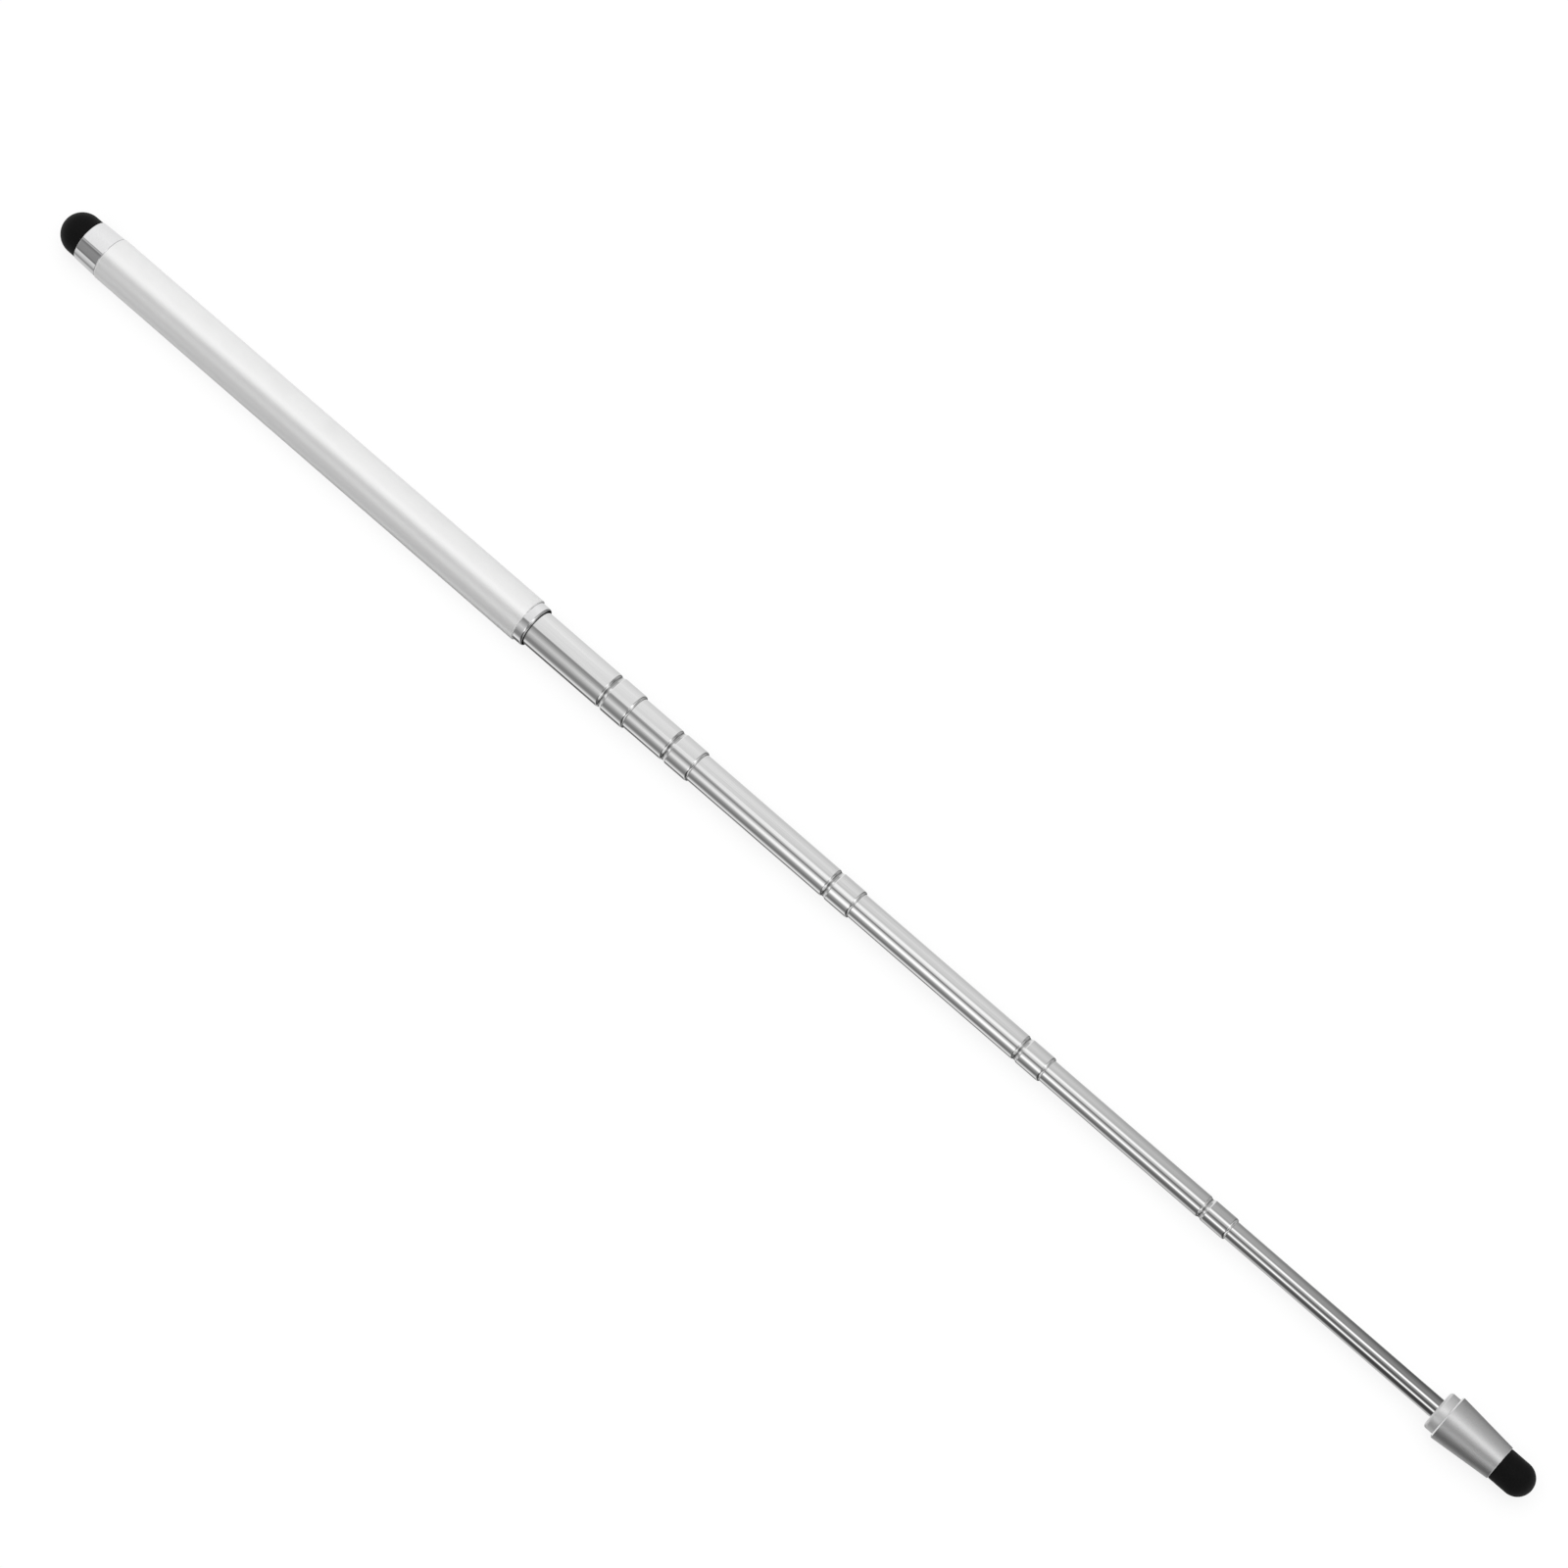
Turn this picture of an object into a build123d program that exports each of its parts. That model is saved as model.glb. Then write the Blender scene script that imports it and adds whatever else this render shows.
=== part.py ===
from build123d import *
import os

# Telescopic pointer with a soft rubber tip at each end, lying along X with its tail towards -X.
# Every piece is turned about the pen's axis, and sizes are in millimetres. Sizes across start from
# the barrel: the mouth ring, the tubes and the tail step inwards from it, each by its own value.

# Barrel
barrel_d = 9.0
barrel_len = 105.1
barrel_wall = 0.65
edge_chamfer = 0.12

# Mouth of the barrel: a thin ring, and behind it the bush that guides the first tube
mouth_rim = 0.3
mouth_ring_wall = 0.2
mouth_ring_out = 2.1
mouth_ring_seat = 4.0
guide_bush_len = 5.0

# Telescopic sections: tubes, with a rod as the last one
first_gap = 0.2
tube_step = 0.35
tube_wall = 0.15
tube_len = 93.0
crimp_to_end = 5.8
crimp_width = 1.3
lip_len = 0.45
tail_foot_len = 0.6
tail_bead_len = 0.8
sleeve_len = 5.0
sleeve_slit = 0.8

# How far each section stands out of the one before it
drawn_out = (24.1, 15.3, 38.3, 45.0, 42.7, 47.0)

# Nose
nose_collar_len = 2.1
nose_collar_round = 0.6
collar_shank_wall = 1.2
collar_shank_len = 4.0
cone_len = 12.0
cone_rim = 0.2
nose_tip_d = 6.5
nose_tip_len = 7.1

# Tail
tail_ring_len = 5.3
tail_ring_step = 0.075
tail_ring_taper = 0.175
tail_spigot_len = 3.0
tail_plug_len = 7.0
tail_tip_step = 0.125
tail_tip_len = 6.0

# Rubber tips and the headed studs that hold them
rubber_wall = 1.0
tip_neck_step = 0.5
tip_neck_len = 1.6
stud_d = 2.5
stud_head_len = 1.2

# Fits, measured on the radius or along the axis
press_room = 0.01
sleeve_room = 0.03
crimp_room = 0.04
collar_room = 0.15
head_room = 0.4
sleeve_play = 0.05
seat_room = 0.1
flush_room = 0.2
stop_room = 0.2
closed_gap = 0.05

# Radii, and stations along the axis measured from the barrel's tail end
barrel_r = barrel_d / 2
barrel_bore_r = barrel_r - barrel_wall
mouth_ring_r = barrel_r - mouth_rim
mouth_bore_r = mouth_ring_r - mouth_ring_wall
mouth_x = barrel_len + mouth_ring_out
ring_seat_x = barrel_len - mouth_ring_seat
bush_seat_x = ring_seat_x - guide_bush_len
last = len(drawn_out)
sections = range(1, last + 1)
tube_r = {k: barrel_bore_r - first_gap - (k - 1) * tube_step for k in sections}
front_x = {k: mouth_x + sum(drawn_out[:k]) for k in sections}
tail_x = {k: front_x[k] - tube_len for k in sections}
crimp_depth = tube_step - tube_wall - crimp_room
crimp_toe = tube_len - crimp_to_end - crimp_width / 2
bead_start = tail_foot_len + sleeve_len + 2 * sleeve_play
bead_end = bead_start + tail_bead_len
rod_r = tube_r[last]
collar_x = front_x[last]
cone_x = collar_x + nose_collar_len
shank_end = cone_x + collar_shank_len
nose_tip_x = cone_x + cone_len
shank_r = rod_r + collar_shank_wall
nose_tip_r = nose_tip_d / 2
tail_ring_r = barrel_r - tail_ring_step
tail_rear_r = tail_ring_r - tail_ring_taper
tail_tip_r = tail_rear_r - tail_tip_step
plug_x = tail_spigot_len + seat_room
plug_end = plug_x + tail_plug_len
stud_hole_r = stud_d / 2 + press_room


def outer_bore_r(k):
    """Radius of the bore that section k slides in."""
    return barrel_bore_r if k == 1 else tube_r[k - 1] - tube_wall


def turned(*outline):
    """Solid turned about the axis from a closed outline of (x, radius) points."""
    return revolve(make_face(Polyline(*outline, close=True)), Axis.X)


def bush(x0, x1, bore_r, outer_r):
    """Plain round bush from x0 to x1."""
    return turned((x0, bore_r), (x1, bore_r), (x1, outer_r), (x0, outer_r))


def make_barrel():
    """Tube, bored out at the mouth for the guide bush and the ring, with chamfered ends."""
    seat_r = mouth_ring_r + press_room
    return turned(
        (0, barrel_bore_r),
        (0, barrel_r - edge_chamfer),
        (edge_chamfer, barrel_r),
        (barrel_len - edge_chamfer, barrel_r),
        (barrel_len, barrel_r - edge_chamfer),
        (barrel_len, seat_r),
        (bush_seat_x, seat_r),
        (bush_seat_x, barrel_bore_r),
    )


def tail_line(k):
    """Outside of a section's tail: the foot, the seat of the friction sleeve, and the stop bead."""
    radius = tube_r[k]
    raised = outer_bore_r(k) - crimp_room
    crest_end = bead_end - (raised - radius)
    return Polyline(
        (0, radius - tube_wall),
        (0, raised),
        (tail_foot_len, raised),
        (tail_foot_len, radius),
        (bead_start, radius),
        (bead_start, raised),
        (crest_end, raised),
        (bead_end, radius),
    )


def crimp_line(radius):
    """Outside of the rolled crimp: three arcs that dip by its depth and come back."""
    quarter = crimp_width / 4
    middle = radius - crimp_depth / 2
    falling = (crimp_toe + quarter, middle)
    floor = (crimp_toe + 2 * quarter, radius - crimp_depth)
    rising = (crimp_toe + 3 * quarter, middle)
    return [
        TangentArc((crimp_toe, radius), falling, tangent=(1, 0)),
        ThreePointArc(falling, floor, rising),
        TangentArc((crimp_toe + crimp_width, radius), rising, tangent=(-1, 0)),
    ]


def make_tube(k):
    """Drawn tube with a rolled crimp and a rolled-in lip, whose lands run on the next section."""
    radius = tube_r[k]
    bore_r = radius - tube_wall
    land_r = bore_r - crimp_depth
    crimp_heel = crimp_toe + crimp_width
    land_inset = crimp_width / 4
    lip_x = tube_len - lip_len
    lip_end = (tube_len, radius - crimp_depth)
    outline = [
        tail_line(k),
        Line((bead_end, radius), (crimp_toe, radius)),
        *crimp_line(radius),
        Line((crimp_heel, radius), (lip_x, radius)),
        TangentArc((lip_x, radius), lip_end, tangent=(1, 0)),
        Polyline(
            lip_end,
            (tube_len, land_r),
            (lip_x, bore_r),
            (crimp_heel, bore_r),
            (crimp_heel - land_inset, land_r),
            (crimp_toe + land_inset, land_r),
            (crimp_toe, bore_r),
            (0, bore_r),
        ),
    ]
    return Pos(tail_x[k]) * revolve(make_face(outline), Axis.X)


def make_rod():
    """Last section: a plain tube that runs through the whole of the nose collar."""
    front = shank_end - tail_x[last]
    bore_r = rod_r - tube_wall
    outline = [
        tail_line(last),
        Polyline((bead_end, rod_r), (front, rod_r), (front, bore_r), (0, bore_r)),
    ]
    return Pos(tail_x[last]) * revolve(make_face(outline), Axis.X)


def make_sleeve(k):
    """Split spring sleeve, captive between the foot and the bead of a section's tail."""
    inner_r = tube_r[k] + sleeve_room
    outer_r = outer_bore_r(k) - sleeve_room
    x0 = tail_x[k] + tail_foot_len + sleeve_play
    slit = Pos(x0 + sleeve_len / 2, 0, outer_r) * Box(2 * sleeve_len, sleeve_slit, outer_r)
    return bush(x0, x0 + sleeve_len, inner_r, outer_r) - slit


def rubber_tip(outer_r, length):
    """Hollow rubber dome that points along +X, with a neck behind it and a hole for its stud."""
    cavity_r = outer_r - rubber_wall
    neck_r = outer_r - tip_neck_step
    dome_x = length - outer_r
    outline = [
        Polyline(
            (dome_x, cavity_r),
            (0, cavity_r),
            (0, stud_hole_r),
            (-tip_neck_len, stud_hole_r),
            (-tip_neck_len, neck_r),
            (0, neck_r),
            (0, outer_r),
            (dome_x, outer_r),
        ),
        CenterArc((dome_x, 0), outer_r, 0, 90),
        Line((dome_x + cavity_r, 0), (length, 0)),
        CenterArc((dome_x, 0), cavity_r, 0, 90),
    ]
    return revolve(make_face(outline), Axis.X)


def headed_stud(tip_r, stem_len):
    """Stud whose head fills a rubber tip of that radius inside, with its stem along -X."""
    head_r = tip_r - rubber_wall - head_room
    return turned(
        (-stem_len, 0),
        (-stem_len, stud_d / 2),
        (0, stud_d / 2),
        (0, head_r),
        (stud_head_len, head_r),
        (stud_head_len, 0),
    )


def make_collar():
    """Seating collar behind the cone: it grips the rod, and enters the mouth ring when closed."""
    bore_r = rod_r + press_room
    collar_r = mouth_bore_r - collar_room
    round_end = (collar_x + nose_collar_round, collar_r)
    round_start = (collar_x, collar_r - nose_collar_round)
    outline = [
        Polyline(
            round_end,
            (cone_x, collar_r),
            (cone_x, shank_r),
            (shank_end, shank_r),
            (shank_end, bore_r),
            (collar_x, bore_r),
            round_start,
        ),
        TangentArc(round_start, round_end, tangent=(0, 1)),
    ]
    return revolve(make_face(outline), Axis.X)


def make_cone():
    """Tapered nose with a socket for the collar behind and a recess for the rubber tip in front."""
    socket_r = shank_r + press_room
    socket_x = shank_end + seat_room
    recess_r = nose_tip_r - tip_neck_step + press_room
    recess_x = nose_tip_x - tip_neck_len - seat_room
    front_r = nose_tip_r + cone_rim
    return turned(
        (cone_x, socket_r),
        (cone_x, barrel_r - edge_chamfer),
        (cone_x + edge_chamfer, barrel_r),
        (nose_tip_x - edge_chamfer, front_r),
        (nose_tip_x, front_r - edge_chamfer),
        (nose_tip_x, recess_r),
        (recess_x, recess_r),
        (recess_x, stud_hole_r),
        (socket_x, stud_hole_r),
        (socket_x, socket_r),
    )


def make_tail_ring():
    """Tapered ferrule with a spigot in the barrel and a recess for the neck of the rubber tip."""
    recess_r = tail_tip_r - tip_neck_step + press_room
    recess_x = tip_neck_len + seat_room - tail_ring_len
    spigot_r = barrel_bore_r - press_room
    return turned(
        (-tail_ring_len, recess_r),
        (-tail_ring_len, tail_rear_r - edge_chamfer),
        (edge_chamfer - tail_ring_len, tail_rear_r),
        (-edge_chamfer, tail_ring_r),
        (0, tail_ring_r - edge_chamfer),
        (0, spigot_r),
        (tail_spigot_len, spigot_r),
        (tail_spigot_len, stud_hole_r),
        (recess_x, stud_hole_r),
        (recess_x, recess_r),
    )


# The tail's tip and stud are made like the nose's and turned to point along -X
at_nose = Pos(nose_tip_x)
at_tail = Pos(-tail_ring_len) * Rot(0, 0, 180)
nodes = {
    "tail_tip": at_tail * rubber_tip(tail_tip_r, tail_tip_len),
    "tail_stud": at_tail * headed_stud(tail_tip_r, tail_ring_len + plug_end),
    "tail_ring": make_tail_ring(),
    "tail_plug": bush(plug_x, plug_end, stud_hole_r, barrel_bore_r - press_room),
    "barrel": make_barrel(),
    "guide_bush": bush(bush_seat_x, ring_seat_x, tube_r[1] + crimp_room, mouth_ring_r),
    "mouth_ring": bush(ring_seat_x, mouth_x, mouth_bore_r, mouth_ring_r),
    "tip_rod": make_rod(),
    "nose_collar": make_collar(),
    "nose_cone": make_cone(),
    "nose_stud": at_nose * headed_stud(nose_tip_r, nose_tip_x - shank_end),
    "nose_tip": at_nose * rubber_tip(nose_tip_r, nose_tip_len),
}
for k in sections:
    nodes[f"friction_sleeve_{k}"] = make_sleeve(k)
for k in sections[:-1]:
    nodes[f"tube_{k}"] = make_tube(k)

# The pen lies on its barrel and cone, and its frame stands under the middle of its length
tail_end = -tail_ring_len - tail_tip_len
nose_end = nose_tip_x + nose_tip_len
in_frame = Pos(-(tail_end + nose_end) / 2, 0, barrel_r)
os.makedirs("parts", exist_ok=True)
for name, solid in nodes.items():
    export_step(in_frame * solid, f"parts/{name}.step")

# Travel of each section from where it stands: closed with all fronts level, open at its stop bead
closed_out = {k: 0 for k in sections}
closed_out[1] = closed_gap - nose_collar_len - flush_room
closed_out[last] = flush_room
stop_x = {k: tail_x[k - 1] + crimp_toe for k in sections[1:]}
stop_x[1] = bush_seat_x
print("length as drawn out", round(nose_end - tail_end, 3))
for k in sections:
    inwards = closed_out[k] - drawn_out[k - 1]
    outwards = stop_x[k] - stop_room - bead_end - tail_x[k]
    print(f"section {k} slides from {inwards:.3f} to {outwards:.3f}")
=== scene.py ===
"""Looks of a telescopic touch pointer: pearl-white barrel, nested steel tubes and two rubber tips."""

import bpy
import numpy as np
from mathutils import Matrix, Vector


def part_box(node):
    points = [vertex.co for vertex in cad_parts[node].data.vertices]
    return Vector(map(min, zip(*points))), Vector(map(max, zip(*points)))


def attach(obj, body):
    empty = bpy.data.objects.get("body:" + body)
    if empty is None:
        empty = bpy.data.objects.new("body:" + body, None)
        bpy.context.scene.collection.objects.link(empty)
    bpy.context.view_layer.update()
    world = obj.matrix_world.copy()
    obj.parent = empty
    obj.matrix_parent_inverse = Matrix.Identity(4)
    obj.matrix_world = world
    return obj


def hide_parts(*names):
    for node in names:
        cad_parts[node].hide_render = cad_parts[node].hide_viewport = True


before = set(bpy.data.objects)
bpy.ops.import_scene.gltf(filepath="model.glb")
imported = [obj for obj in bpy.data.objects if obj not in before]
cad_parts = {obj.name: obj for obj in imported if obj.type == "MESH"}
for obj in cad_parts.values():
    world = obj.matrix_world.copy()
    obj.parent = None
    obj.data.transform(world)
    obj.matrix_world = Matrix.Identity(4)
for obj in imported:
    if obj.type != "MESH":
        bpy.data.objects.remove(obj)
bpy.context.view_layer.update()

# Barrel: an aluminium tube, bored out at the mouth for the ring, and sprayed with a satin pearl-white
# lacquer whose mica flakes give it a metallic sheen. Its chamfered ends are glossier where worn and
# are painted lighter as a highlight.
axis_height = 4.5
barrel_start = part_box("barrel")[0].x * 1000
barrel_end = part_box("barrel")[1].x * 1000
barrel_radius = 4.5
barrel_bore = 3.85
mouth_seat_radius = 4.21
mouth_seat_length = 9.0


def rounded_outline(corners, radii, steps=7, hold_share=0.04):
    """Closed outline whose corners are arcs. Each arc touches both sides at radius / tan(half the corner's
    angle) from the corner and turns from one tangent point to the other. Points held just outside each arc,
    by half the radius or that share of the side if it is less, keep straight faces straight when shaded."""
    corner = np.asarray(corners, float)
    radius = np.broadcast_to(np.asarray(radii, float), len(corner))[:, None]
    back = np.roll(corner, 1, axis=0) - corner
    ahead = np.roll(corner, -1, axis=0) - corner
    back_length = np.linalg.norm(back, axis=1, keepdims=True)
    ahead_length = np.linalg.norm(ahead, axis=1, keepdims=True)
    back, ahead = back / back_length, ahead / ahead_length
    half = 0.5 * np.arccos(np.clip((back * ahead).sum(1, keepdims=True), -1, 1))
    reach = radius / np.tan(half)
    middle = back + ahead
    centre = corner + middle / np.linalg.norm(middle, axis=1, keepdims=True) * radius / np.sin(half)
    first = corner + back * reach - centre
    final = corner + ahead * reach - centre
    swing = (np.pi - 2 * half)[:, None]
    share = np.linspace(0, 1, steps + 1)[None, :, None]
    leaving = np.sin((1 - share) * swing) * first[:, None]
    arriving = np.sin(share * swing) * final[:, None]
    arc = (leaving + arriving) / np.sin(swing) + centre[:, None]
    hold_back = corner + back * (reach + np.minimum(radius / 2, hold_share * back_length))
    hold_ahead = corner + ahead * (reach + np.minimum(radius / 2, hold_share * ahead_length))
    rows = np.concatenate([hold_back[:, None], arc, hold_ahead[:, None]], axis=1)
    return rows.reshape(-1, 2)


flat_lean, steep_lean = 0.2, 0.5


def turned_piece(name, outline, around=160, closed=True, bright_radius=0.0, shade_depth=1.0):
    """Surface of revolution: outline point i at angle a lies at (x_i, r_i cos a, axis height + r_i sin a).
    The outline runs so that its outer wall goes towards the tail, and an open one begins and ends in a pole
    on the axis. An attribute for painted shade grows from 0 at the bright radius to 1 at that depth below it.
    The edge attribute is the sine of the outline's lean, spread from 0 at the flat lean to 1 at the steep
    one."""
    outline = np.asarray(outline, float)
    x, r = outline.T
    if (x * np.roll(r, -1) - np.roll(x, -1) * r).sum() < 0:
        x, r = x[::-1], r[::-1]
    angle = np.linspace(0, 2 * np.pi, around, endpoint=False)
    points = np.stack([np.repeat(x[:, None], around, 1), r[:, None] * np.cos(angle),
                       axis_height + r[:, None] * np.sin(angle)], axis=-1) / 1000
    index = np.arange(len(x) * around).reshape(len(x), around)
    index = np.where(r[:, None] == 0, index[:, :1], index)
    here, there = (index, np.roll(index, -1, axis=0)) if closed else (index[:-1], index[1:])
    corners = np.stack([here, there, np.roll(there, -1, axis=1), np.roll(here, -1, axis=1)], axis=-1)
    used, renumbered = np.unique(corners, return_inverse=True)
    corners = renumbered.reshape(corners.shape)
    if closed:
        faces = corners.reshape(-1, 4).tolist()
    else:
        faces = (corners[0][:, :3].tolist() + corners[1:-1].reshape(-1, 4).tolist()
                 + corners[-1][:, [0, 1, 3]].tolist())
    mesh = bpy.data.meshes.new(name)
    mesh.from_pydata(points.reshape(-1, 3)[used].tolist(), [], faces)
    mesh.shade_smooth()
    # Painted shade: outline points below the bright radius get a mask that darkens their colour.
    hollow_shade = np.clip((bright_radius - r) / shade_depth, 0, 1)
    rise, run = np.roll(r, -1) - np.roll(r, 1), np.roll(x, -1) - np.roll(x, 1)
    lean = np.abs(rise) / np.hypot(rise, run)
    edge = np.clip((lean - flat_lean) / (steep_lean - flat_lean), 0, 1)
    for kind, values in (("hollow_shade", hollow_shade), ("edge", edge)):
        mesh.attributes.new(kind, "FLOAT", "POINT").data.foreach_set("value", np.repeat(values, around)[used])
    piece = bpy.data.objects.new(name, mesh)
    bpy.context.scene.collection.objects.link(piece)
    return piece


def effect_group(name, inputs, outputs):
    """Empty shader node group with those sockets: inputs are (name, value), outputs are (name, kind)."""
    group = bpy.data.node_groups.new(name, "ShaderNodeTree")
    for socket, value in inputs:
        made = group.interface.new_socket(socket, in_out="INPUT", socket_type="NodeSocketFloat")
        made.default_value = value
    for socket, kind in outputs:
        group.interface.new_socket(socket, in_out="OUTPUT", socket_type=kind)
    return group, group.nodes.new("NodeGroupInput"), group.nodes.new("NodeGroupOutput")


def object_millimetres(tree, along=1.0, across=1.0):
    """Object coordinates in millimetres, stretched by a factor along the pen and another across it."""
    place = tree.nodes.new("ShaderNodeTexCoord")
    scale = tree.nodes.new("ShaderNodeMapping")
    scale.inputs["Scale"].default_value = (1000 * along, 1000 * across, 1000 * across)
    tree.links.new(place.outputs["Object"], scale.inputs["Vector"])
    return scale.outputs["Vector"]


def smudge_effect():
    """Faint prints left by fingers: broad soft noise, sharpened so that most of the surface stays clean."""
    group, given, result = effect_group("smudges", [("Amount", 0.1), ("Clean", 0.1)],
                                        [("Roughness", "NodeSocketFloat")])
    noise = group.nodes.new("ShaderNodeTexNoise")
    noise.inputs["Scale"].default_value = 0.22
    noise.inputs["Detail"].default_value = 6
    noise.inputs["Roughness"].default_value = 0.62
    mask = group.nodes.new("ShaderNodeMapRange")
    mask.interpolation_type = "SMOOTHSTEP"
    mask.inputs["From Min"].default_value = 0.46
    mask.inputs["From Max"].default_value = 0.68
    rough = group.nodes.new("ShaderNodeMath")
    rough.operation = "MULTIPLY_ADD"
    group.links.new(object_millimetres(group), noise.inputs["Vector"])
    group.links.new(noise.outputs["Fac"], mask.inputs["Value"])
    group.links.new(mask.outputs["Result"], rough.inputs[0])
    group.links.new(given.outputs["Amount"], rough.inputs[1])
    group.links.new(given.outputs["Clean"], rough.inputs[2])
    group.links.new(rough.outputs["Value"], result.inputs["Roughness"])
    return group


def grain_effect():
    """Fine even grain: noise of that many bumps in a millimetre, as a tilted normal and as a mask."""
    group, given, result = effect_group("fine_grain", [("Bumps per mm", 8), ("Strength", 0.1)],
                                        [("Normal", "NodeSocketVector"), ("Mask", "NodeSocketFloat")])
    noise = group.nodes.new("ShaderNodeTexNoise")
    noise.inputs["Detail"].default_value = 3
    bump = group.nodes.new("ShaderNodeBump")
    bump.inputs["Distance"].default_value = 0.00002
    group.links.new(object_millimetres(group), noise.inputs["Vector"])
    group.links.new(given.outputs["Bumps per mm"], noise.inputs["Scale"])
    group.links.new(noise.outputs["Fac"], bump.inputs["Height"])
    group.links.new(given.outputs["Strength"], bump.inputs["Strength"])
    group.links.new(bump.outputs["Normal"], result.inputs["Normal"])
    group.links.new(noise.outputs["Fac"], result.inputs["Mask"])
    return group


def finish_material(name, colour, metallic, roughness):
    """Principled material with plain values, ready for its surface detail."""
    material = bpy.data.materials.new(name)
    material.use_nodes = True
    shader = material.node_tree.nodes["Principled BSDF"]
    shader.inputs["Base Color"].default_value = (*colour, 1)
    shader.inputs["Metallic"].default_value = metallic
    shader.inputs["Roughness"].default_value = roughness
    return material, material.node_tree, shader


def placed_effect(tree, group, **values):
    """A group placed in a material, with its values by socket name (underscores for spaces)."""
    node = tree.nodes.new("ShaderNodeGroup")
    node.node_tree = group
    for socket, value in values.items():
        node.inputs[socket.replace("_", " ")].default_value = value
    return node


def shaded_colour(tree, shader, mask, dark, light, low=0.35, high=0.65):
    """Base colour that runs from dark to light over that range of a mask."""
    ramp = tree.nodes.new("ShaderNodeValToRGB")
    ramp.color_ramp.elements[0].position = low
    ramp.color_ramp.elements[0].color = (*dark, 1)
    ramp.color_ramp.elements[1].position = high
    ramp.color_ramp.elements[1].color = (*light, 1)
    tree.links.new(mask, ramp.inputs["Fac"])
    tree.links.new(ramp.outputs["Color"], shader.inputs["Base Color"])


def edge_wear_and_highlight_effect():
    """Worn edges with a painted highlight: the piece's edge attribute times broad noise, as an uneven mask up
    to that amount.
    """
    group, given, result = effect_group("edge_wear_and_highlight", [("Amount", 1.0)], [("Mask", "NodeSocketFloat")])
    edge = group.nodes.new("ShaderNodeAttribute")
    edge.attribute_name = "edge"
    noise = group.nodes.new("ShaderNodeTexNoise")
    noise.inputs["Scale"].default_value = 0.9
    noise.inputs["Detail"].default_value = 4
    uneven = group.nodes.new("ShaderNodeMapRange")
    uneven.inputs["From Min"].default_value = 0.3
    uneven.inputs["From Max"].default_value = 0.6
    uneven.inputs["To Min"].default_value = 0.5
    worn_and_highlighted = group.nodes.new("ShaderNodeMath")
    worn_and_highlighted.operation = "MULTIPLY"
    share = group.nodes.new("ShaderNodeMath")
    share.operation = "MULTIPLY"
    group.links.new(object_millimetres(group), noise.inputs["Vector"])
    group.links.new(noise.outputs["Fac"], uneven.inputs["Value"])
    group.links.new(edge.outputs["Fac"], worn_and_highlighted.inputs[0])
    group.links.new(uneven.outputs["Result"], worn_and_highlighted.inputs[1])
    group.links.new(worn_and_highlighted.outputs["Value"], share.inputs[0])
    group.links.new(given.outputs["Amount"], share.inputs[1])
    group.links.new(share.outputs["Value"], result.inputs["Mask"])
    return group


def blended_socket(tree, target, mask, value):
    """Blends what a shader's socket has, a link or a plain value, with a new value where the mask is high."""
    blend = tree.nodes.new("ShaderNodeMix")
    blend.data_type = "RGBA" if target.type == "RGBA" else "FLOAT"
    blend.inputs["A"].default_value = target.default_value
    blend.inputs["B"].default_value = value
    if target.links:
        tree.links.new(target.links[0].from_socket, blend.inputs["A"])
    tree.links.new(mask, blend.inputs["Factor"])
    tree.links.new(blend.outputs["Result"], target)


smudges = smudge_effect()
fine_grain = grain_effect()
edge_wear_and_highlight = edge_wear_and_highlight_effect()

barrel = turned_piece("barrel_shell", rounded_outline(
    [(barrel_start, barrel_bore), (barrel_end - mouth_seat_length, barrel_bore),
     (barrel_end - mouth_seat_length, mouth_seat_radius), (barrel_end, mouth_seat_radius),
     (barrel_end, barrel_radius), (barrel_start, barrel_radius)],
    [0.05, 0.05, 0.05, 0.06, 0.14, 0.14]))
pearl, tree, shader = finish_material("pearl_lacquer", (0.89, 0.89, 0.89), 0.72, 0.34)
flakes = placed_effect(tree, fine_grain, Bumps_per_mm=14, Strength=0.12)
shaded_colour(tree, shader, flakes.outputs["Mask"], (0.86, 0.86, 0.86), (0.92, 0.92, 0.915))
prints = placed_effect(tree, smudges, Amount=0.05, Clean=0.33)
tree.links.new(prints.outputs["Roughness"], shader.inputs["Roughness"])
tree.links.new(flakes.outputs["Normal"], shader.inputs["Normal"])
# Chamfers and end faces: painted lighter as a highlight, and glossier as worn lacquer.
worn_and_highlighted = placed_effect(tree, edge_wear_and_highlight, Amount=0.9)
blended_socket(tree, shader.inputs["Base Color"], worn_and_highlighted.outputs["Mask"], (0.97, 0.97, 0.97, 1))
blended_socket(tree, shader.inputs["Roughness"], worn_and_highlighted.outputs["Mask"], 0.2)
barrel.data.materials.append(pearl)
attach(barrel, "handle")
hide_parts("barrel")

# Guide bush: a black acetal bush pressed into the mouth behind the ring. Only its front edge can be
# seen, down in the gap round the first tube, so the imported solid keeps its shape.
acetal, tree, shader = finish_material("black_acetal", (0.02, 0.02, 0.02), 0.0, 0.45)
turning = placed_effect(tree, fine_grain, Bumps_per_mm=6, Strength=0.15)
shaded_colour(tree, shader, turning.outputs["Mask"], (0.014, 0.014, 0.014), (0.028, 0.028, 0.028))
tree.links.new(turning.outputs["Normal"], shader.inputs["Normal"])
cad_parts["guide_bush"].material_slots[0].material = acetal

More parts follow.
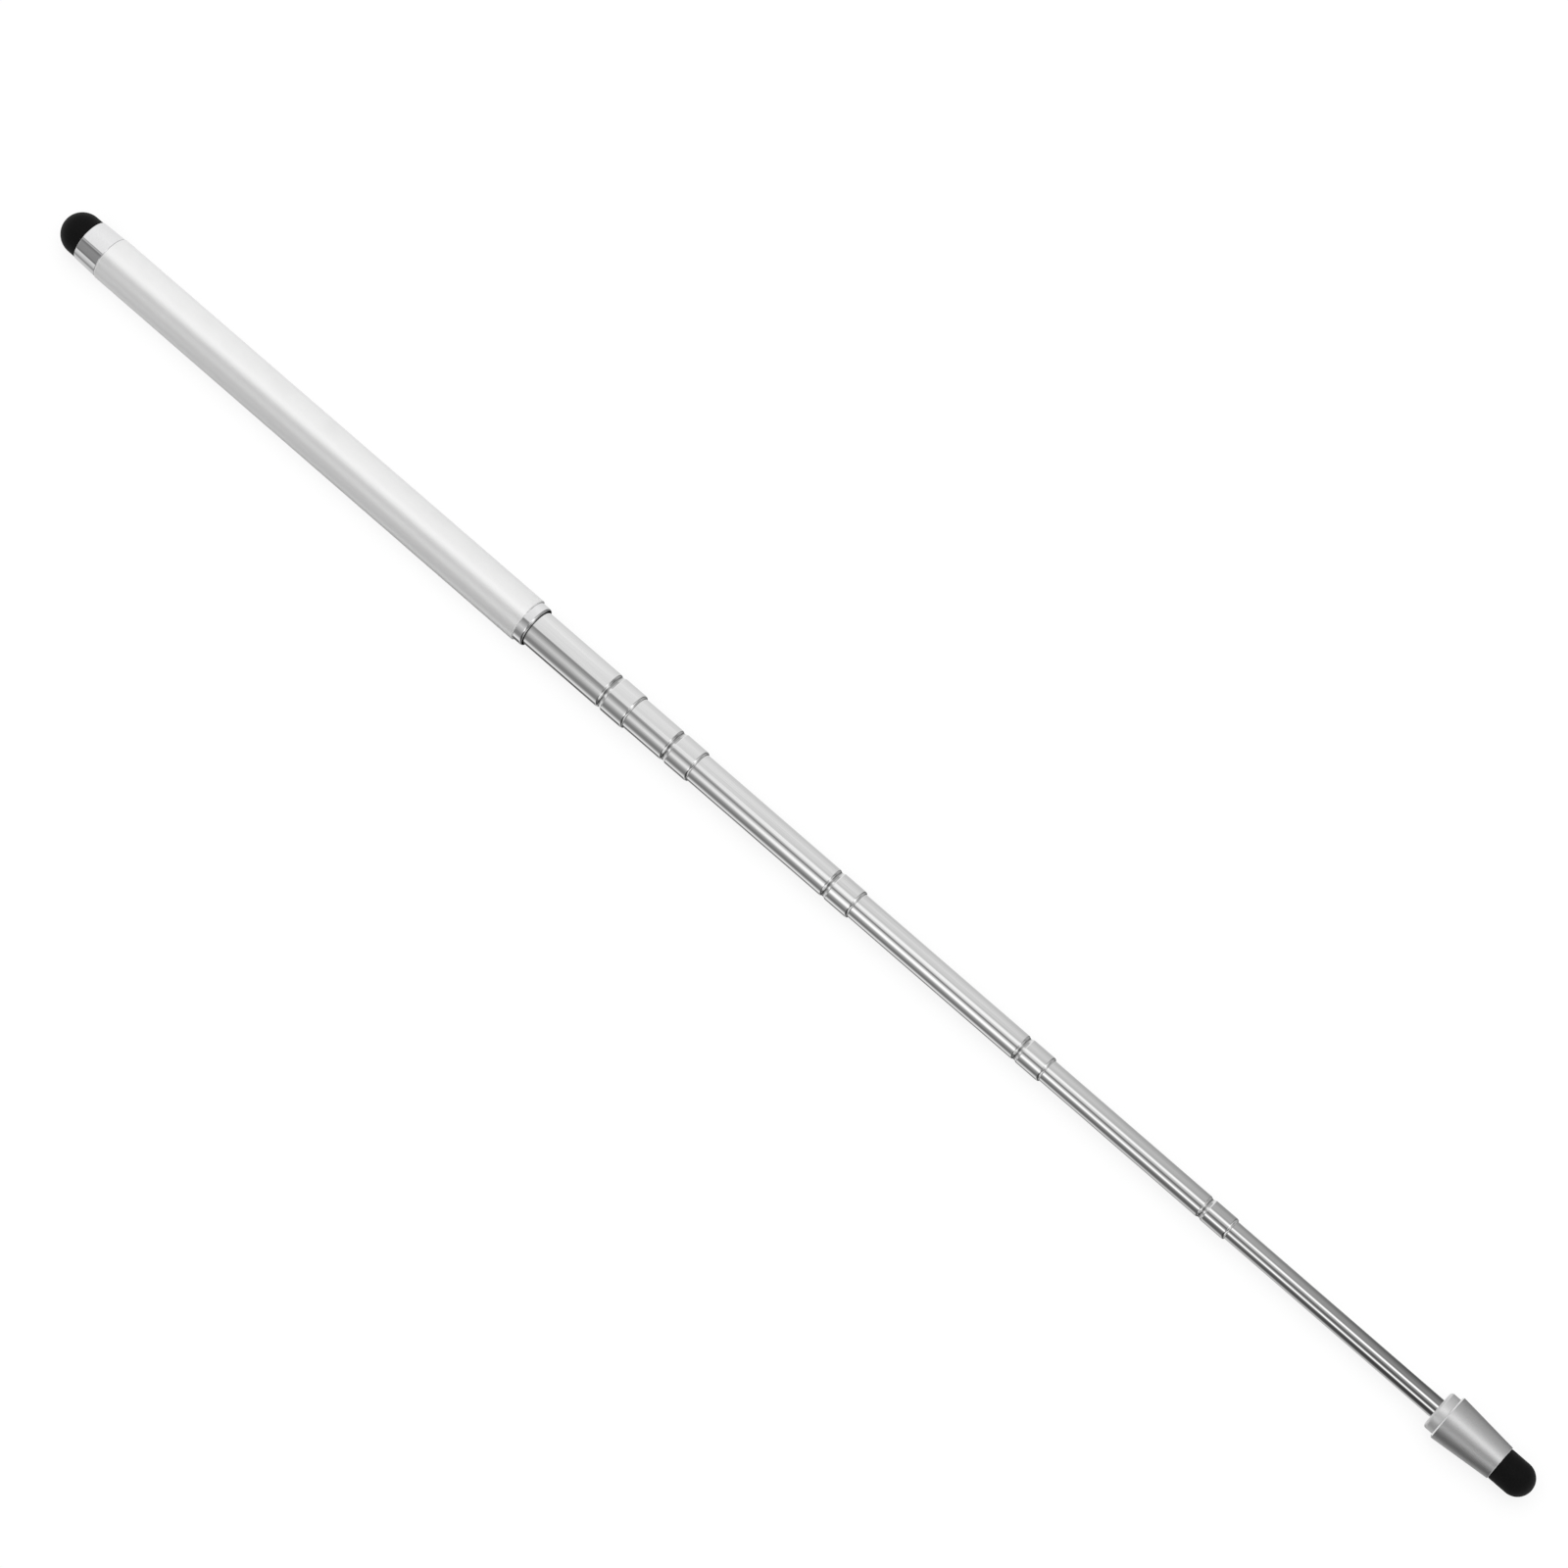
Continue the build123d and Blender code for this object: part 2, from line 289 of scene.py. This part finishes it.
# Mouth ring: a thin-walled brass ring, polished and chrome plated, pressed into the barrel's mouth
# so that a narrow bright band stands out of it. Its front edge is rolled in, inside as well, and its
# bore is painted dark as shade. Points held near the lip and the rear edge keep the band straight in what
# it mirrors.
ring_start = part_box("mouth_ring")[0].x * 1000
ring_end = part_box("mouth_ring")[1].x * 1000
ring_radius = 4.2
ring_bore = 4.0
ring_lip_length = 0.55
ring_lip_drop = 0.22
ring_lip_hold = 0.6
ring_inside = [(-0.1, -0.06), (-0.03, -0.07), (0, -0.04)]
ring_rear_edge = [(0.06, 0), (0, -0.05)]
ring_bore_edge = 0.03
ring_hold = 0.2


def rolled_lip(end, radius, length, drop):
    """Front edge rolled in: a quarter ellipse whose x grows with the sine of an angle while its radius falls
    with one minus the cosine."""
    turn = np.linspace(0, np.pi / 2, 17)
    return np.column_stack([end - length * (1 - np.sin(turn)), radius - drop * (1 - np.cos(turn))])


def hollow_shade_effect():
    """Painted shade in hollows: the piece's attribute for that shade, as a mask up to that amount."""
    group, given, result = effect_group("hollow_shade", [("Amount", 0.8)], [("Mask", "NodeSocketFloat")])
    hollow_shade = group.nodes.new("ShaderNodeAttribute")
    hollow_shade.attribute_name = "hollow_shade"
    share = group.nodes.new("ShaderNodeMath")
    share.operation = "MULTIPLY"
    group.links.new(hollow_shade.outputs["Fac"], share.inputs[0])
    group.links.new(given.outputs["Amount"], share.inputs[1])
    group.links.new(share.outputs["Value"], result.inputs["Mask"])
    return group


hollow_shade_mask = hollow_shade_effect()
mouth_ring = turned_piece("mouth_ring_band", np.vstack([
    [(ring_start + ring_bore_edge, ring_bore), (ring_end - ring_lip_length, ring_bore)],
    [(ring_end + along, ring_bore + outward) for along, outward in ring_inside],
    rolled_lip(ring_end, ring_radius, ring_lip_length, ring_lip_drop)[::-1],
    [(ring_end - ring_lip_hold, ring_radius), (ring_start + ring_hold, ring_radius)],
    [(ring_start + along, ring_radius + outward) for along, outward in ring_rear_edge],
    [(ring_start, ring_bore + ring_bore_edge)]]), bright_radius=ring_radius, shade_depth=0.2)
chrome, tree, shader = finish_material("chrome_plate", (0.84, 0.84, 0.845), 1.0, 0.05)
polish = placed_effect(tree, smudges, Amount=0.02, Clean=0.025)
tree.links.new(polish.outputs["Roughness"], shader.inputs["Roughness"])
plating = placed_effect(tree, fine_grain, Bumps_per_mm=3, Strength=0.006)
shaded_colour(tree, shader, plating.outputs["Mask"], (0.825, 0.825, 0.83), (0.85, 0.85, 0.855))
# Painted shade: the ring's bore is painted dark.
bore_shade = placed_effect(tree, hollow_shade_mask, Amount=0.9)
blended_socket(tree, shader.inputs["Base Color"], bore_shade.outputs["Mask"], (0.05, 0.05, 0.05, 1))
tree.links.new(plating.outputs["Normal"], shader.inputs["Normal"])
mouth_ring.data.materials.append(chrome)
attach(mouth_ring, "handle")
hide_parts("mouth_ring")

# Tubes: five drawn stainless tubes, polished on centres. Each has a foot, a sleeve seat and a stop
# bead at its hidden tail, a rolled crimp near its front, and a front edge rolled in as a lip.
first_tube_radius = 3.65
tube_step = 0.35
tube_radius = {k: first_tube_radius - tube_step * (k - 1) for k in range(1, 7)}
tube_wall = 0.15
stop_rise = 0.16
foot_length = 0.6
bead_start, bead_end = 5.7, 6.5
bore_edge, tail_edge = 0.04, 0.05
crimp_centre = 5.8
crimp_fall, crimp_rise = 0.65, 0.75
crimp_depth = 0.22
inner_crimp = 0.16
inner_flat, inner_reach = 0.2, 0.6
lip_edge = 0.02
lip_length = 0.6
lip_drop = 0.27
wall_hold = 0.03
shade_below = 0.13
tube_shade_depth = 0.1


def tail_corners(start, radius):
    """Corners of a section's hidden tail, seen from its bore: the foot, the sleeve seat and the stop bead."""
    raised = radius + stop_rise
    return ([(start, radius - tube_wall), (start, raised), (start + foot_length, raised),
             (start + foot_length, radius), (start + bead_start, radius), (start + bead_start, raised),
             (start + bead_end - stop_rise, raised), (start + bead_end, radius)],
            [bore_edge] + [tail_edge] * 7)


def tube_outline(start, end, radius):
    """Outline of one tube. Its crimp falls steeply towards the front and rises gently again, each by the
    smooth step 3 u^2 - 2 u^3 of the way along that wall, and its front edge is a rolled lip. Points held just
    outside the crimp and the lip keep the walls straight when they are shaded. The tail is rounded with two
    plain front corners, which are then left off."""
    bore = radius - tube_wall
    corners, radii = tail_corners(start, radius)
    plain_front = [(end, radius), (end, bore)]
    rows = rounded_outline(corners + plain_front, radii + [tail_edge] * 2)
    tail = rows[:len(rows) * len(corners) // len(corners + plain_front)]
    lowest = end - crimp_centre
    u = np.linspace(0, 1, 17)
    step = crimp_depth * u * u * (3 - 2 * u)
    return np.vstack([
        tail, [(lowest - crimp_fall - wall_hold, radius)],
        np.column_stack([lowest - crimp_fall * (1 - u), radius - step]),
        np.column_stack([lowest + crimp_rise * u[1:], radius - crimp_depth + step[1:]]),
        [(lowest + crimp_rise + wall_hold, radius), (end - lip_length - wall_hold, radius)],
        rolled_lip(end, radius, lip_length, lip_drop),
        [(end - lip_edge, bore - inner_crimp), (end - lip_length, bore), (lowest + inner_reach, bore),
         (lowest + inner_flat, bore - inner_crimp), (lowest - inner_flat, bore - inner_crimp),
         (lowest - inner_reach, bore)]])


def drawn_line_effect():
    """Fine lines along the pen from drawing and polishing: noise stretched along X, as roughness, normal
    and mask."""
    group, given, result = effect_group("drawn_lines", [("Clean", 0.1), ("Amount", 0.06), ("Strength", 0.05)],
                                        [("Roughness", "NodeSocketFloat"), ("Normal", "NodeSocketVector"),
                                         ("Mask", "NodeSocketFloat")])
    noise = group.nodes.new("ShaderNodeTexNoise")
    noise.inputs["Scale"].default_value = 1
    noise.inputs["Detail"].default_value = 4
    rough = group.nodes.new("ShaderNodeMath")
    rough.operation = "MULTIPLY_ADD"
    bump = group.nodes.new("ShaderNodeBump")
    bump.inputs["Distance"].default_value = 0.00001
    group.links.new(object_millimetres(group, along=0.05, across=9), noise.inputs["Vector"])
    group.links.new(noise.outputs["Fac"], rough.inputs[0])
    group.links.new(given.outputs["Amount"], rough.inputs[1])
    group.links.new(given.outputs["Clean"], rough.inputs[2])
    group.links.new(noise.outputs["Fac"], bump.inputs["Height"])
    group.links.new(given.outputs["Strength"], bump.inputs["Strength"])
    group.links.new(rough.outputs["Value"], result.inputs["Roughness"])
    group.links.new(bump.outputs["Normal"], result.inputs["Normal"])
    group.links.new(noise.outputs["Fac"], result.inputs["Mask"])
    return group


drawn_lines = drawn_line_effect()
stainless, tree, shader = finish_material("polished_stainless", (0.8, 0.8, 0.8), 1.0, 0.12)
lines = placed_effect(tree, drawn_lines, Clean=0.04, Amount=0.06, Strength=0.06)
shaded_colour(tree, shader, lines.outputs["Mask"], (0.77, 0.77, 0.77), (0.83, 0.83, 0.828))
# Painted shade: the bottom of each crimp and the rolled-in lip are painted dark, for shade and dark
# reflections.
groove_shade = placed_effect(tree, hollow_shade_mask, Amount=0.75)
blended_socket(tree, shader.inputs["Base Color"], groove_shade.outputs["Mask"], (0.1, 0.1, 0.1, 1))
tree.links.new(lines.outputs["Roughness"], shader.inputs["Roughness"])
tree.links.new(lines.outputs["Normal"], shader.inputs["Normal"])
for k in range(1, 6):
    low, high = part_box(f"tube_{k}")
    tube = turned_piece(f"tube_{k}_drawn", tube_outline(low.x * 1000, high.x * 1000, tube_radius[k]),
                        bright_radius=tube_radius[k] - shade_below, shade_depth=tube_shade_depth)
    tube.data.materials.append(stainless)
    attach(tube, f"section_{k}")
    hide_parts(f"tube_{k}")

# Rod: the sixth and thinnest section, a plain drawn tube that runs on into the nose collar, which is
# swaged on it.
low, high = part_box("tip_rod")
corners, radii = tail_corners(low.x * 1000, tube_radius[6])
corners += [(high.x * 1000, tube_radius[6]), (high.x * 1000, tube_radius[6] - tube_wall)]
rod = turned_piece("tip_rod_drawn", rounded_outline(corners, radii + [bore_edge] * 2))
rod.data.materials.append(stainless)
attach(rod, "section_6")
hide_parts("tip_rod")

# Friction sleeves: split sleeves rolled from phosphor-bronze strip, one on the tail of each section.
# They stay hidden in the bore outside them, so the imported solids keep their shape.
bronze, tree, shader = finish_material("spring_bronze_strip", (0.62, 0.42, 0.24), 1.0, 0.3)
rolling = placed_effect(tree, drawn_lines, Clean=0.22, Amount=0.16, Strength=0.2)
shaded_colour(tree, shader, rolling.outputs["Mask"], (0.56, 0.37, 0.20), (0.68, 0.47, 0.28))
tree.links.new(rolling.outputs["Roughness"], shader.inputs["Roughness"])
tree.links.new(rolling.outputs["Normal"], shader.inputs["Normal"])
for k in range(1, 7):
    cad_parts[f"friction_sleeve_{k}"].material_slots[0].material = bronze

# Nose collar: turned from aluminium bar with a rounded rear edge. It grips the rod, and seats in the
# mouth ring when the pointer is closed.
collar_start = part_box("nose_collar")[0].x * 1000
collar_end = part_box("nose_collar")[1].x * 1000
flange_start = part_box("nose_cone")[0].x * 1000
collar_radius = 3.85
collar_bore = 1.91
shank_radius = 3.1
collar_round = 0.6
collar = turned_piece("nose_collar_turned", rounded_outline(
    [(collar_start, collar_bore), (collar_end, collar_bore), (collar_end, shank_radius),
     (flange_start, shank_radius), (flange_start, collar_radius), (collar_start, collar_radius)],
    [0.08, 0.05, 0.05, 0.05, 0.05, collar_round], steps=10))
satin, tree, shader = finish_material("turned_aluminium", (0.7, 0.7, 0.7), 0.76, 0.38)
facing = placed_effect(tree, fine_grain, Bumps_per_mm=7, Strength=0.12)
shaded_colour(tree, shader, facing.outputs["Mask"], (0.67, 0.67, 0.67), (0.74, 0.74, 0.74))
tree.links.new(facing.outputs["Normal"], shader.inputs["Normal"])
collar.data.materials.append(satin)
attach(collar, "section_6")
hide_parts("nose_collar")

# Nose cone: turned from aluminium bar, bead blasted and clear anodised, with chamfers machined
# afterwards at both ends, glossier than the blasted face and painted lighter as a highlight. It is
# pressed on the collar's shank.
cone_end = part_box("nose_cone")[1].x * 1000
cone_rear = 4.5
cone_front = 3.45
cone_chamfer = 0.26
socket_radius = 3.11
socket_room = 0.1
socket_end = collar_end + socket_room
web_bore = 1.26
recess_radius = 2.76
recess_depth = 1.7
recess_start = cone_end - recess_depth
cone = turned_piece("nose_cone_blasted", rounded_outline(
    [(flange_start, socket_radius), (socket_end, socket_radius), (socket_end, web_bore),
     (recess_start, web_bore), (recess_start, recess_radius), (cone_end, recess_radius),
     (cone_end, cone_front), (flange_start + cone_chamfer, cone_rear),
     (flange_start, cone_rear - cone_chamfer)],
    [0.05, 0.05, 0.05, 0.05, 0.05, 0.06, 0.12, 0.06, 0.06]))
blasted, tree, shader = finish_material("blasted_aluminium", (0.7, 0.7, 0.7), 1.0, 0.36)
beads = placed_effect(tree, fine_grain, Bumps_per_mm=9, Strength=0.3)
shaded_colour(tree, shader, beads.outputs["Mask"], (0.66, 0.66, 0.66), (0.76, 0.76, 0.76))
tree.links.new(beads.outputs["Normal"], shader.inputs["Normal"])
# Chamfers and end faces: painted lighter as a highlight, and glossier as a bright machined edge.
cut_edge_highlight = placed_effect(tree, edge_wear_and_highlight, Amount=1.0)
blended_socket(tree, shader.inputs["Base Color"], cut_edge_highlight.outputs["Mask"], (0.93, 0.93, 0.93, 1))
blended_socket(tree, shader.inputs["Roughness"], cut_edge_highlight.outputs["Mask"], 0.14)
cone.data.materials.append(blasted)
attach(cone, "section_6")
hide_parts("nose_cone")

# Rubber tips: hollow domes moulded in black conductive silicone rubber, one at each end. A neck sits
# in the recess of the cone or ring, and the head of a stud holds it there from inside.
tip_wall = 1.0
neck_step = 0.5
neck_length = 1.6
stud_hole = 1.26
nose_tip_length, nose_tip_radius = 7.1, 3.25
tail_tip_length, tail_tip_radius = 6.0, 4.125
skirt_edge = [(0.3, 0), (0.16, -0.01), (0.06, -0.06), (0, -0.18), (0, -0.3)]
skirt_hold = 0.1
soft_edge = 0.02


def rubber_outline(base, length, radius, way):
    """Dome outline from its outer pole to the pole of its cavity: a quarter circle, the skirt, the neck, the
    stud hole and the inner quarter circle. Way is 1 for a dome that points to the nose and -1 to the tail."""
    cavity = radius - tip_wall
    neck = radius - neck_step
    turn = np.linspace(0, np.pi / 2, 33)[:, None]
    quarter = np.hstack([np.cos(turn), np.sin(turn)])
    centre = np.array([length - radius, 0])
    skirt = [(length - radius - skirt_hold, radius)]
    skirt += [(along, radius + outward) for along, outward in skirt_edge]
    neck_wall = [(0, neck + soft_edge), (-soft_edge, neck), (soft_edge - neck_length, neck),
                 (-neck_length, neck - soft_edge), (-neck_length, stud_hole + soft_edge),
                 (soft_edge - neck_length, stud_hole), (-soft_edge, stud_hole), (0, stud_hole + soft_edge)]
    cavity_floor = [(0, cavity - soft_edge), (soft_edge, cavity)]
    rows = np.vstack([centre + radius * quarter, skirt, neck_wall, cavity_floor,
                      centre + cavity * quarter[::-1]])
    rows[[0, -1], 1] = 0
    return np.column_stack([base + way * rows[:, 0], rows[:, 1]])


rubber, tree, shader = finish_material("black_silicone", (0.003, 0.003, 0.003), 0.0, 0.65)
shader.inputs["Specular IOR Level"].default_value = 0.1
shader.inputs["Sheen Weight"].default_value = 0.03
mould = placed_effect(tree, fine_grain, Bumps_per_mm=5, Strength=0.3)
shaded_colour(tree, shader, mould.outputs["Mask"], (0.002, 0.002, 0.002), (0.004, 0.004, 0.004))
tree.links.new(mould.outputs["Normal"], shader.inputs["Normal"])
nose_dome = rubber_outline(cone_end, nose_tip_length, nose_tip_radius, 1)
nose_tip = turned_piece("nose_tip_dome", nose_dome, closed=False)
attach(nose_tip, "section_6")
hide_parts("nose_tip")
tail_tip_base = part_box("tail_ring")[0].x * 1000
tail_dome = rubber_outline(tail_tip_base, tail_tip_length, tail_tip_radius, -1)
tail_tip = turned_piece("tail_tip_dome", tail_dome, closed=False)
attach(tail_tip, "handle")
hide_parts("tail_tip")
for tip in (nose_tip, tail_tip):
    tip.data.materials.append(rubber)

# Tail ring: a tapered brass ferrule, polished and chrome plated, whose spigot is pressed into the
# barrel's tail and whose rear recess takes the neck of the rubber tip.
tail_ring_front = 4.425
tail_ring_rear = 4.25
spigot_radius = 3.84
spigot_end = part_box("tail_ring")[1].x * 1000
tail_recess = 3.635
tail_ring = turned_piece("tail_ring_ferrule", rounded_outline(
    [(tail_tip_base, tail_recess), (tail_tip_base + recess_depth, tail_recess),
     (tail_tip_base + recess_depth, stud_hole), (spigot_end, stud_hole), (spigot_end, spigot_radius),
     (barrel_start, spigot_radius), (barrel_start, tail_ring_front), (tail_tip_base, tail_ring_rear)],
    [0.06, 0.05, 0.05, 0.05, 0.05, 0.05, 0.12, 0.12]))
tail_ring.data.materials.append(chrome)
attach(tail_ring, "handle")
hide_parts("tail_ring")

# Plug and studs: turned from brass bar and left bright. The plug is pressed into the barrel's tail,
# and the headed studs hold the rubber tips. All three are hidden inside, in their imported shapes.
brass, tree, shader = finish_material("turned_brass", (0.72, 0.56, 0.28), 1.0, 0.25)
tool_marks = placed_effect(tree, fine_grain, Bumps_per_mm=5, Strength=0.15)
shaded_colour(tree, shader, tool_marks.outputs["Mask"], (0.66, 0.50, 0.24), (0.78, 0.62, 0.33))
tree.links.new(tool_marks.outputs["Normal"], shader.inputs["Normal"])
for node in ("tail_plug", "tail_stud", "nose_stud"):
    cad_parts[node].material_slots[0].material = brass

# Table: a large sheet of white acrylic, lit from below so that shadows on it stay faint. The metal
# mirrors the studio round it, not the sheet. Its half width is in metres.
sheet_half = 12.0
sheet_mesh = bpy.data.meshes.new("table_sheet")
sheet_corners = [(-sheet_half, -sheet_half, 0), (sheet_half, -sheet_half, 0), (sheet_half, sheet_half, 0),
                 (-sheet_half, sheet_half, 0)]
sheet_mesh.from_pydata(sheet_corners, [], [(0, 1, 2, 3)])
table = bpy.data.objects.new("table_sheet", sheet_mesh)
bpy.context.scene.collection.objects.link(table)
acrylic, tree, shader = finish_material("white_acrylic", (0.2, 0.2, 0.2), 0.0, 0.9)
shader.inputs["Specular IOR Level"].default_value = 0.0
shader.inputs["Emission Color"].default_value = (1, 1, 1, 1)
shader.inputs["Emission Strength"].default_value = 0.8
table.data.materials.append(acrylic)
table.visible_glossy = False

# Studio: long soft boxes parallel to the pen, with dark gaps between them, seen in the metal as bands.
# Each band list gives (degrees round the pen from the camera's side, brightness) at one place along it.
# The camera's side is 12 degrees from straight up, and a ramp holds each level as a share of the brightest.
bands_ends = [(-168, 0.95), (-150, 0.80), (-105, 0.74), (-90, 0.46), (-30, 0.62), (-20, 1.00), (-8, 1.00),
              (4, 0.62), (15, 0.40), (30, 0.52), (42, 1.00), (52, 1.00), (65, 0.40), (90, 0.46), (105, 0.74),
              (150, 0.84), (168, 0.95)]
bands_ring = [(-168, 0.80), (-60, 0.97), (6, 0.90), (9, 0.30), (14, 0.54), (20, 0.19), (32, 0.29), (66, 0.27),
              (74, 0.14), (80, 0.80), (100, 0.62), (114, 0.27), (128, 0.78), (165, 0.95)]
bands_barrel = [(-168, 0.84), (-60, 1.20), (-25, 1.16), (-8, 0.92), (22, 0.42), (90, 0.46), (108, 0.24),
                (165, 0.24)]
bands_first = [(-168, 0.70), (-80, 0.95), (0, 0.82), (3, 0.34), (9, 0.26), (44, 0.70), (80, 0.25), (98, 0.27),
               (120, 0.92), (127, 0.88), (134, 0.14)]
bands_later = [(-168, 0.74), (-130, 0.64), (-70, 0.84), (-27, 0.68), (-20, 1.08), (-6, 1.12), (9, 0.64),
               (15, 0.22), (21, 0.32), (40, 1.30), (50, 1.30), (66, 0.40), (90, 0.18), (101, 0.27),
               (117, 0.92), (128, 0.90), (136, 0.30)]
bands_rod = [(-168, 0.20), (-118, 0.10), (-60, 0.26), (-32, 0.25), (-26, 1.25), (-13, 1.30), (-5, 0.38),
             (18, 0.08), (33, 0.13), (48, 1.50), (60, 0.14), (74, 0.03), (110, 0.10), (128, 0.60)]
bands_cone = [(-168, 0.22), (-67, 0.60), (-18, 1.42), (20, 0.46), (40, 0.28), (60, 0.14), (85, 0.06),
              (165, 0.10)]
bands_front = [(-100, 0.40), (-60, 0.14), (-33, 0.30), (-20, 1.00), (-8, 0.80), (5, 0.10), (30, 0.08),
               (48, 1.10), (75, 0.90), (100, 0.10), (130, 0.40)]
camera_side = 12.0
brightest = 2.0
world = bpy.data.worlds.new("studio")
world.use_nodes = True
bpy.context.scene.world = world
studio = world.node_tree
studio.nodes.clear()
direction = studio.nodes.new("ShaderNodeTexCoord")
parts = studio.nodes.new("ShaderNodeSeparateXYZ")
studio.links.new(direction.outputs["Generated"], parts.inputs["Vector"])
flipped = studio.nodes.new("ShaderNodeMath")
flipped.operation = "MULTIPLY"
flipped.inputs[1].default_value = -1
studio.links.new(parts.outputs["Y"], flipped.inputs[0])
round_pen = studio.nodes.new("ShaderNodeMath")
round_pen.operation = "ARCTAN2"
studio.links.new(flipped.outputs["Value"], round_pen.inputs[0])
studio.links.new(parts.outputs["Z"], round_pen.inputs[1])
turn_share = studio.nodes.new("ShaderNodeMapRange")
turn_share.inputs["From Min"].default_value = -np.pi
turn_share.inputs["From Max"].default_value = np.pi
studio.links.new(round_pen.outputs["Value"], turn_share.inputs["Value"])


def soft_boxes(bands):
    """Brightness round the pen as a ramp over one turn, from half a turn before straight up to half after."""
    ramp = studio.nodes.new("ShaderNodeValToRGB")
    stops = ramp.color_ramp.elements
    stops.remove(stops[1])
    places = [((angle + camera_side) / 360 + 0.5, level / brightest) for angle, level in bands]
    stops[0].position = places[0][0]
    stops[0].color = (places[0][1],) * 3 + (1,)
    for place, level in places[1:]:
        stops.new(place).color = (level, level, level, 1)
    studio.links.new(turn_share.outputs["Result"], ramp.inputs["Fac"])
    return ramp.outputs["Color"]


def along_pen(before, after, start, end):
    """Fades from one set of bands to the next over that range of the direction's share along the pen."""
    fade = studio.nodes.new("ShaderNodeMapRange")
    fade.inputs["From Min"].default_value = start
    fade.inputs["From Max"].default_value = end
    studio.links.new(parts.outputs["X"], fade.inputs["Value"])
    blend = studio.nodes.new("ShaderNodeMix")
    blend.data_type = "RGBA"
    studio.links.new(fade.outputs["Result"], blend.inputs["Factor"])
    studio.links.new(before, blend.inputs["A"])
    studio.links.new(after, blend.inputs["B"])
    return blend.outputs["Result"]


seen = soft_boxes(bands_ends)
for bands, start, end in [(bands_ring, -0.60, -0.48), (bands_barrel, -0.40, -0.30),
                          (bands_first, -0.275, -0.255), (bands_later, -0.235, -0.17),
                          (bands_rod, -0.135, -0.03), (bands_cone, 0.03, 0.10),
                          (bands_front, 0.26, 0.34), (bands_ends, 0.50, 0.60)]:
    seen = along_pen(seen, soft_boxes(bands), start, end)
mirrored = studio.nodes.new("ShaderNodeBackground")
mirrored.inputs["Strength"].default_value = brightest
studio.links.new(seen, mirrored.inputs["Color"])
plain = studio.nodes.new("ShaderNodeBackground")
plain.inputs["Color"].default_value = (0.95, 0.95, 0.95, 1)
ray = studio.nodes.new("ShaderNodeLightPath")
either = studio.nodes.new("ShaderNodeMixShader")
studio.links.new(ray.outputs["Is Camera Ray"], either.inputs["Fac"])
studio.links.new(mirrored.outputs["Background"], either.inputs[1])
studio.links.new(plain.outputs["Background"], either.inputs[2])
surface = studio.nodes.new("ShaderNodeOutputWorld")
studio.links.new(either.outputs["Shader"], surface.inputs["Surface"])

# Overhead light: a large diffused panel that brightens the table and the paint. It is kept out of the
# metal's reflections, which come from the soft boxes.
panel = bpy.data.lights.new("overhead_panel", "AREA")
panel.shape = "SQUARE"
panel.size = 3.0
panel.energy = 30
overhead = bpy.data.objects.new("overhead_panel", panel)
overhead.location = (0, 0, 2.0)
overhead.visible_glossy = False
bpy.context.scene.collection.objects.link(overhead)

# Camera: a long lens nearly above the nose, turned so that the pen runs from upper left to lower right.
azimuth, elevation = np.radians(42.03), np.radians(73.46)
aim = np.array([-0.00395, 0, 0.0045])
aside, aloft, distance = 0.00491, 0.00619, 0.9346
outward = np.array([np.sin(azimuth), -np.cos(azimuth), 0])
right = np.array([np.cos(azimuth), np.sin(azimuth), 0])
backward = np.cos(elevation) * outward + [0, 0, np.sin(elevation)]
upward = [0, 0, np.cos(elevation)] - np.sin(elevation) * outward
place = aim + aside * right + aloft * upward + distance * backward
lens = bpy.data.cameras.new("camera")
lens.lens = 120
lens.sensor_width = 36
camera = bpy.data.objects.new("camera", lens)
stance = np.column_stack([right, upward, backward, place])
camera.matrix_world = Matrix(np.vstack([stance, [0, 0, 0, 1]]).tolist())
bpy.context.scene.collection.objects.link(camera)
bpy.context.scene.camera = camera
bpy.context.scene.view_settings.view_transform = "Standard"
